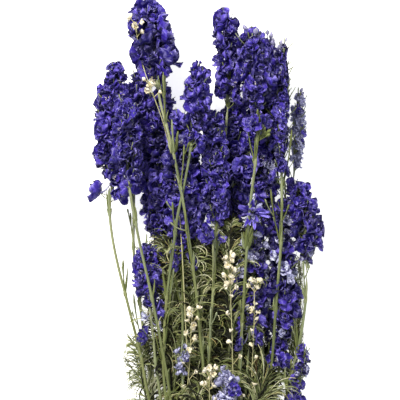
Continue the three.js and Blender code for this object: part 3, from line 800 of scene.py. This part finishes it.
for number in range(1, STALKS + 1):
    rng = np.random.default_rng(500 + number)
    line, neck, tip = stalk_lines[number]
    heap, stalklets = Heap(), []
    tone = TONES.get(number, "deep")
    spacing = FLORET_EVERY.get(number, FLORET_EVERY["else"]) * MM
    buds_from = BUDS_FROM.get(number, BUDS_FROM["else"])
    end_gap, least = BLUNT.get(number, BLUNT["else"])
    y, count = neck + 3 * MM, 0
    while y < tip - end_gap:
        full = max(follow(line, np.array([y]))[1][0], least)
        share = (y - neck) / (tip - neck)
        radial = outward(count * GOLDEN_TURN + rng.normal(0, 0.3))
        if number in ONE_SIDED:
            radial = np.abs(radial)
        if share > buds_from:
            root = at_height(line, y)
            face = radial * (1.1 - share) * 3 + UP_STALK + rng.normal(0, 0.15, 3)
            size = rng.uniform(0.8, 1.2) * (1.3 - 0.4 * share) * float(np.clip(full / BUD_RADIUS, 0.7, 1.1))
            place = root + radial * full * 0.6
            turn = facing(face, np.array([0.1, 0.2, 1.0]))
            set_down(heap, bud_kinds[rng.integers(0, BUD_KINDS)], place, turn, size)
            stalklets.append((root - UP_STALK * 3 * MM) * (1 - STALKLET_STEPS) + place * STALKLET_STEPS)
            y += spacing * 1.2
        else:
            scale = float(np.clip((full / BROAD_RADIUS) ** 0.6, 0.55, 1.12) * rng.uniform(0.8, 1.14))
            scale *= FLORET_SIZE.get(number, 1.0)
            reach = max(full * 1.1 - FLORET_REACH * scale, 1.5 * MM) * rng.uniform(0.65, 1.22)
            reach += ONE_SIDED.get(number, 0)
            chance = rng.random()
            shade = tone if chance < 0.84 else "bright"
            if share < SPECKLED.get(number, 0) and chance > 0.52:
                shade, scale = "pale", scale * SMALL_FLORET
                reach = full * rng.uniform(0.6, 1.05)
            lean = rng.uniform(-0.1, 0.55) + 0.5 * share
            hang(heap, stalklets, rng, line, y, radial, reach, shade, lean, scale)
            y += spacing * rng.uniform(0.7, 1.3)
        count += 1

    # the stragglers, and then small florets close to the rachis, which on deep spikes are near-black as
    # painted shade in the gaps
    loose = [(rng.uniform(2, 16), rng.uniform(0, 360), tone, rng.uniform(0.7, 0.95)) for i in range(3)]
    for below, way, kind, scale in STRAGGLERS.get(number, loose):
        y = neck - below * MM
        reach = max(FLORET_REACH * scale, follow(line, np.array([y]))[1][0])
        radial = outward(math.radians(way))
        hang(heap, stalklets, rng, line, y, radial, reach, kind, rng.uniform(0, 0.4), scale)
    for y in np.arange(neck + 4 * MM, tip - 14 * MM, CORE_EVERY):
        full = follow(line, np.array([y]))[1][0]
        radial = outward(rng.uniform(0, 2 * math.pi))
        hang(heap, stalklets, rng, line, y, radial, full * 0.3, "shade" if tone == "deep" else tone,
             rng.uniform(0, 0.8), float(np.clip(full / BROAD_RADIUS, 0.5, 1.1)))

    corner, size = tile([stalk_strips[number]] * len(stalklets), rng.integers(0, 8, len(stalklets)))
    stalk_heaps[number].tubes(stalklets, np.tile(STALKLET_RADII, (len(stalklets), 1)), 5, corner, size)

    if number in HEMMED_IN:
        for points in heap.points:
            press(points[:, 0], *HEMMED_IN[number])
    left = cad_box[0].x - SPREAD.get(number, 0)
    flowers = heap.to_object(f"florets_{number:02d}", petal_material, left=left)
    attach(flowers, "root")
    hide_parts(f"raceme_{number:02d}")

    stalk = stalk_heaps[number].to_object(f"stalk_{number:02d}", stalk_material)
    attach(stalk, "root")
    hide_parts(f"stem_{number:02d}")


# ---- Leaf tufts ----
# Larkspur leaves, dried on the plant. Each one is cut so finely that it is a spray of forking threads, which
# have curled and tangled as they dried. They are matt grey-olive, with a few yellow and brown ones.

TUFTS = 12
# Each tuft has a layer of near-black threads deep down, painted shade that keeps the table from showing
# through the gaps, and fresh leaves over it. The values are the gap from one leaf to the next, the radius of
# a thread, the rows of the texture sheet, how much the leaves lean up (below 0 is down, under the stalks),
# and how far they reach past the tuft's own radius. The shade layer's threads are thicker, as if matted
# together.
SHADE_LAYER = {"every": 1.8 * MM, "radius": 0.75 * MM, "rows": (0, 1), "rise": -0.6, "reach": 27 * MM}
FRESH = {"every": 2.6 * MM, "radius": 0.46 * MM, "rows": range(2, 8), "rise": -0.15, "reach": 40 * MM}
DEEP_TUFTS = (5,)  # these lie under the others, and have painted-shade threads only
OPEN_TUFTS = (4, 10)  # these have fresh leaves only, with no painted-shade threads under them
SHORT_LEAVES = {12: 0.75}  # the share of a leaf's length that a crowded tuft has
PAST_TIP = {8: 34 * MM, 10: 10 * MM, 11: 26 * MM, "else": 3 * MM}  # how far leaves reach past a tuft's end
LEAF_EDGES = (-77 * MM, 90 * MM)  # the outermost stalks hold the leaves in between these
LIE_FLAT = np.array([1.0, 1.0, 0.4])  # the leaves lie pressed between the stalks
THREAD_RINGS = 9
RIBS = 3
LEAF_SHEET = 272 * MM  # what the whole texture sheet measures along a thread
FLECK = 1.7 * MM


def dried_leaf():
    """Air-dried thread leaf: dull, thin, grey-olive to yellow-green, and each thread has its own shade.
    Threads on the two lowest rows are near-black, painted shade.
    """
    material, tree, output = new_material("air_dried_thread_leaf")
    place, inside, row, chance = sheet_nodes(tree)
    fresh = ramp(tree, chance.outputs["Value"], [
        (0.0, "#4f5a2c"), (0.22, "#6f7b45"), (0.48, "#94a06a"), (0.7, "#bdc597"), (0.92, "#e6e8c9"),
        (1.0, "#b8aa70")])
    # painted shade: near-black threads for the layer under the fresh leaves
    painted_shade = ramp(tree, chance.outputs["Value"], [
        (0.0, "#0c0e07"), (0.4, "#181b0c"), (0.7, "#2a2e14"), (0.9, "#434521"), (1.0, "#4a371e")])
    rows = add_node(tree, "ShaderNodeMath", {0: row, 1: 2.0}, operation="LESS_THAN")
    fresh_or_shade = tint(tree, "MIX", rows.outputs["Value"], fresh, painted_shade)
    at = add_node(tree, "ShaderNodeSeparateXYZ", {"Vector": inside.outputs["Vector"]})
    along = ramp(tree, at.outputs["Y"], [(0.0, "#a9a78c"), (0.5, "#ffffff"), (1.0, "#fff4c8")])
    colour = tint(tree, "MULTIPLY", 0.9, fresh_or_shade, along)
    fleck = add_node(tree, "ShaderNodeTexNoise", {
        "Vector": place.outputs["UV"], "Scale": LEAF_SHEET / FLECK, "Detail": 2.0})
    flecks = ramp(tree, fleck.outputs["Fac"], [(0.35, "#a8a8a8"), (0.6, "#ffffff")])
    colour = tint(tree, "MULTIPLY", 0.6, colour, flecks)
    skin = add_node(tree, "ShaderNodeBsdfPrincipled", {"Base Color": colour, "Roughness": 0.7})
    skin.inputs["IOR"].default_value = 1.4
    tree.links.new(skin.outputs["BSDF"], output.inputs["Surface"])
    return material


def curl_of(start, heading, side, bend, size):
    """Points and directions of a thread that sets out along heading and curls to side, most at its tip."""
    turn = bend * np.linspace(0, 1, THREAD_RINGS)[:, None] ** 1.6
    ways = heading * np.cos(turn) + side * np.sin(turn)
    steps = np.vstack([np.zeros(3), (ways[1:] + ways[:-1]) / 2])
    return start + steps.cumsum(0) * size / (THREAD_RINGS - 1), ways


def threads_of_leaf(rng, root, out, length):
    """Paths of one leaf: ribs that fan out from its root, curl over to one side together, and fork."""
    paths = []
    axis = unit(np.array([rng.normal(0, 0.4), rng.normal(0, 0.4), rng.choice([-1.0, 1.0])]))
    turn = rng.uniform(0.5, 2.4)

    def grow(start, heading, size, forks):
        path, ways = curl_of(start, heading, unit(np.cross(axis, heading)), turn + rng.normal(0, 0.2), size)
        paths.append(path)
        for fork in range(2 if forks else 0):
            ring = rng.integers(2, 6)
            heading = unit(ways[ring] + rng.normal(0, 0.22, 3) * LIE_FLAT)
            grow(path[ring], heading, size * rng.uniform(0.5, 0.9), forks - 1)

    for rib in range(RIBS):
        heading = unit(out * rng.uniform(0.1, 0.6) + UP_STALK + rng.normal(0, 0.16, 3) * LIE_FLAT)
        grow(root, heading, length * rng.uniform(0.6, 1.0), rng.integers(0, 3))
    return paths


leaf_material = dried_leaf()
for number in range(1, TUFTS + 1):
    rng = np.random.default_rng(700 + number)
    line = rings_of(f"leaf_tuft_{number:02d}")
    foot, tip = line[0, 0], line[-1, 0]
    past_tip = PAST_TIP.get(number, PAST_TIP["else"])
    heap = Heap()
    y = np.linspace(foot, tip - 12 * MM, 40)
    middle, full = follow(line, y)
    heap.tubes([middle], [np.linspace(1.0, 0.5, 40) * MM], 6, *tile([2], [0]))  # the stalk that they grow on, coloured near-black from the painted-shade row
    for leaf_layer, without in ((SHADE_LAYER, OPEN_TUFTS), (FRESH, DEEP_TUFTS)):
        if number in without:
            continue
        paths = []
        for at in np.arange(foot + 2 * MM, tip - 14 * MM, leaf_layer["every"]):
            root, full = follow(line, np.array([at]))
            turn = rng.uniform(0, 2 * math.pi)
            inward = (sum(LEAF_EDGES) / 2 - root[0, 0]) / (LEAF_EDGES[1] - LEAF_EDGES[0])
            out = np.array([math.cos(turn) + inward, 0.0, math.sin(turn) * 0.3 + leaf_layer["rise"]])
            length = min(full[0] * 1.2 + leaf_layer["reach"], tip - at + past_tip)
            paths += threads_of_leaf(rng, root[0], out, length * SHORT_LEAVES.get(number, 1.0))
        taper = np.linspace(1.0, 0.6, THREAD_RINGS) * leaf_layer["radius"]
        heap.tubes(paths, taper * rng.uniform(0.7, 1.25, (len(paths), 1)), 4,
                   *tile(rng.integers(0, 8, len(paths)), rng.choice(leaf_layer["rows"], len(paths))))
    tuft = heap.to_object(f"leaves_{number:02d}", leaf_material, *LEAF_EDGES)
    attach(tuft, "root")
    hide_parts(f"leaf_tuft_{number:02d}")


# ---- Pale sprigs ----
# A thinner plant that grew among the larkspur: straw-coloured wiry stems with clusters of small cream
# flowers and round buds, dried hard.

SPRIGS = 5
SPRIG_RADIUS, TWIG_STEM_RADIUS = 0.7 * MM, 0.36 * MM
HEAD_FROM = 1.4 * MM  # the sweep is wider than this where the flowers stand
SIDE_FLOWERS = {5: 0.0, "else": 90 * MM}  # how far below the head single flowers grow
DIPS = {5: ((36 * MM, 14 * MM, 16 * MM), (150 * MM, 44 * MM, 11 * MM))}  # below the tip, half length, depth
BARE_STRETCH = {4: (0.3, 0.62), 5: (0.2, 0.78)}  # the share of the head that has lost its flowers
CREAM_KINDS, CREAM_PETALS, CREAM_PETAL = 8, 5, 4.2 * MM
KNOB_ROW, TWIG_ROW = 5, 7  # of the texture sheet; the flowers have rows 0 to 2 and the stem lies on row 6
KNOB_RADII = np.array([0.3, 0.9, 1.1, 1.0, 0.7, 0.2]) * MM
CREAM_SHEET = 37.8 * MM  # what the whole texture sheet measures on a cream petal
PETAL_FLECK = 0.42 * MM


def dried_cream_flower():
    """Air-dried white petals and wiry stem: matt and warm cream, flecked with brown, greener on the stem."""
    material, tree, output = new_material("air_dried_cream_flower")
    place, inside, row, chance = sheet_nodes(tree)
    base = colour_by_row(tree, row, [
        (0, "#fffaea"), (3, "#f6ecca"), (5, "#eae2b4"), (6, "#b9b98c"), (TWIG_ROW, "#d9d3a6")])
    chances = ramp(tree, chance.outputs["Value"], [(0.0, "#e2dcc6"), (1.0, "#ffffff")])
    colour = tint(tree, "MULTIPLY", 1.0, base, chances)
    fleck = add_node(tree, "ShaderNodeTexNoise", {
        "Vector": place.outputs["UV"], "Scale": CREAM_SHEET / PETAL_FLECK, "Detail": 3.0})
    flecks = ramp(tree, fleck.outputs["Fac"], [(0.3, "#c2ae88"), (0.5, "#ffffff")])
    colour = tint(tree, "MULTIPLY", 0.5, colour, flecks)
    bump = add_node(tree, "ShaderNodeBump", {
        "Height": fleck.outputs["Fac"], "Strength": 0.4, "Distance": 0.3 * MM})
    skin = add_node(tree, "ShaderNodeBsdfPrincipled", {
        "Base Color": colour, "Roughness": 0.7, "Normal": bump.outputs["Normal"]})
    skin.inputs["IOR"].default_value = 1.4
    tree.links.new(skin.outputs["BSDF"], output.inputs["Surface"])
    return material


def cream_flower(rng):
    """A small open flower of five round petals with a knob in the middle."""
    heap = Heap()
    turn = np.arange(CREAM_PETALS) * 2 * math.pi / CREAM_PETALS
    length, width = CREAM_PETAL * rng.uniform(0.8, 1.1, (2, CREAM_PETALS))
    heap.add(*petals(rng, length, width, rng.normal(0.5, 0.3, CREAM_PETALS),
                     rng.normal(0.6, 0.5, CREAM_PETALS), turn,
                     *tile(rng.integers(0, 8, CREAM_PETALS), rng.integers(0, 3, CREAM_PETALS)),
                     start=0.4 * MM))
    t = np.linspace(-0.6, 1.6, 6)[:, None] * MM
    heap.tubes([np.array([0, 0, 1.0]) * t], [KNOB_RADII], 6, *tile([rng.integers(0, 8)], [KNOB_ROW]))
    return heap


cream_material = dried_cream_flower()
cream_kinds = [gathered(cream_flower(np.random.default_rng(4000 + j))) for j in range(CREAM_KINDS)]

for number in range(1, SPRIGS + 1):
    rng = np.random.default_rng(900 + number)
    line = rings_of(f"pale_sprig_{number:02d}")
    cut, tip = line[0, 0], line[-1, 0]
    neck = line[line[:, 3] > HEAD_FROM][0, 0]
    y = np.linspace(cut, tip - 2 * MM, int((tip - cut) / STALK_RING_EVERY))
    middle, full = follow(line, y)
    for below, half, depth in DIPS.get(number, ()):  # where the stem runs down among florets
        middle[:, 2] -= depth * np.exp(-((y - tip + below) / half) ** 2)
    heap = Heap()
    heap.tubes([middle], [np.linspace(1.1, 0.6, len(y)) * SPRIG_RADIUS], 8,
               [[0.02, 6.1 / SHEET_ROWS]], [[0.96, 0.8 / SHEET_ROWS]])

    # flowers on short twigs round the head, then single ones lower on the stem
    twigs = []
    t = np.linspace(0, 1, 5)[:, None]
    at, count = neck, 0
    bare_from, bare_to = BARE_STRETCH.get(number, (1, 1))
    while at < tip:
        if bare_from < (at - neck) / (tip - neck) < bare_to:
            at += 3 * MM
            continue
        root = at_height(line, min(at, tip - 2 * MM))
        turn = count * GOLDEN_TURN
        out = np.array([math.cos(turn), 0.5, math.sin(turn)])
        place = root + out * rng.uniform(2.5, 5.5) * MM
        face = out + rng.normal(0, 0.4, 3)
        kind = cream_kinds[rng.integers(0, CREAM_KINDS)]
        set_down(heap, kind, place, facing(face, np.array([0, 1.0, 0.3])), rng.uniform(0.85, 1.3))
        twigs.append((root - UP_STALK * 2.5 * MM) * (1 - t) + place * t)
        at += rng.uniform(2.2, 4.5) * MM
        count += 1
    below = SIDE_FLOWERS.get(number, SIDE_FLOWERS["else"])
    for at in np.arange(neck - below, neck, rng.uniform(11, 17) * MM):
        root = at_height(line, at)
        turn = rng.uniform(0, 2 * math.pi)
        place = root + np.array([math.cos(turn), 1.0, abs(math.sin(turn))]) * rng.uniform(4, 9) * MM
        kind = cream_kinds[rng.integers(0, CREAM_KINDS)]
        face = rng.normal(0, 1, 3) + UP_STALK
        set_down(heap, kind, place, facing(face, UP_STALK + 0.1), rng.uniform(0.6, 1.0))
        twigs.append(root * (1 - t) + place * t)
    heap.tubes(twigs, np.full((len(twigs), 5), TWIG_STEM_RADIUS), 4,
               *tile(rng.integers(0, 8, len(twigs)), [TWIG_ROW] * len(twigs)))
    sprig = heap.to_object(f"sprig_{number:02d}", cream_material)
    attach(sprig, "root")
    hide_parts(f"pale_sprig_{number:02d}")


# ---- The rubber band ----
# A natural latex band wound round the stems in three turns, slightly stretched. It is cut from a moulded
# tube, so its section is a rectangle with soft corners.

TURNS = 3
BAND_STEPS = 96  # points in one turn
BAND_SECTION = (1.25 * MM, 0.75 * MM)  # half its width and half its thickness
CORNERS = [(-1, -0.6), (-0.85, -1), (0.85, -1), (1, -0.6), (1, 0.6), (0.85, 1), (-0.85, 1), (-1, 0.6)]
BAND_SWAY = 0.35 * MM
LATEX_CLOUDS = 220.0  # in one metre: soft blotches about 4.5 mm across


def latex():
    """Natural latex rubber, moulded and cut: tan and waxy, faintly clouded, with a dull sheen."""
    material, tree, output = new_material("natural_latex_rubber")
    where = add_node(tree, "ShaderNodeTexCoord")
    cloud = add_node(tree, "ShaderNodeTexNoise", {
        "Vector": where.outputs["Object"], "Scale": LATEX_CLOUDS, "Detail": 3.0})
    colour = ramp(tree, cloud.outputs["Fac"], [(0.3, "#b98f55"), (0.7, "#d6b27c")])
    bump = add_node(tree, "ShaderNodeBump", {
        "Height": cloud.outputs["Fac"], "Strength": 0.2, "Distance": 0.2 * MM})
    skin = add_node(tree, "ShaderNodeBsdfPrincipled", {
        "Base Color": colour, "Roughness": 0.5, "Normal": bump.outputs["Normal"]})
    skin.inputs["IOR"].default_value = 1.52
    tree.links.new(skin.outputs["BSDF"], output.inputs["Surface"])
    return material


low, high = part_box("rubber_band")
band_width = high.y - low.y
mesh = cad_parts["rubber_band"].data
edge = np.array([v.co[:] for v in mesh.vertices])
centre = (edge.min(0) + edge.max(0)) / 2
turns = np.linspace(0, 2 * math.pi, BAND_STEPS, endpoint=False)
directions = np.column_stack([np.cos(turns), np.sin(turns)])
flat = edge[:, [0, 2]] - centre[[0, 2]]
reach = (directions @ flat.T).max(1)
slope = np.gradient(np.concatenate([reach[-3:], reach, reach[:3]]), turns[1])[3:-3]
loop = directions * reach[:, None] + np.column_stack([-directions[:, 1], directions[:, 0]]) * slope[:, None]
band_verts, band_faces = [], []
for coil in range(TURNS):
    rest = centre[1] + (coil - (TURNS - 1) / 2) * band_width / TURNS
    inward = 1 - (BAND_SECTION[1] + 0.15 * MM * (coil % 2)) / np.maximum(np.linalg.norm(loop, axis=1), 1e-6)
    path = loop * inward[:, None]
    sway = BAND_SWAY * np.sin(turns * 2 + coil * 2.1)
    outward = unit(path)
    start = len(band_verts)
    for i in range(len(turns)):
        for along, out in CORNERS:
            p = path[i] + outward[i] * out * BAND_SECTION[1]
            across = rest + sway[i] + along * BAND_SECTION[0]
            band_verts.append((centre[0] + p[0], across, centre[2] + p[1]))
    sides = len(CORNERS)
    for i in range(len(turns)):
        for k in range(sides):
            a, b = i * sides + k, i * sides + (k + 1) % sides
            after = ((i + 1) % len(turns) - i) * sides
            band_faces.append((start + a, start + a + after, start + b + after, start + b))
band_mesh = bpy.data.meshes.new("latex_band")
band_mesh.from_pydata(band_verts, [], band_faces)
band_mesh.polygons.foreach_set("use_smooth", [True] * len(band_faces))
band_mesh.materials.append(latex())
band = bpy.data.objects.new("latex_band", band_mesh)
bpy.context.collection.objects.link(band)
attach(band, "root")
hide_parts("rubber_band")
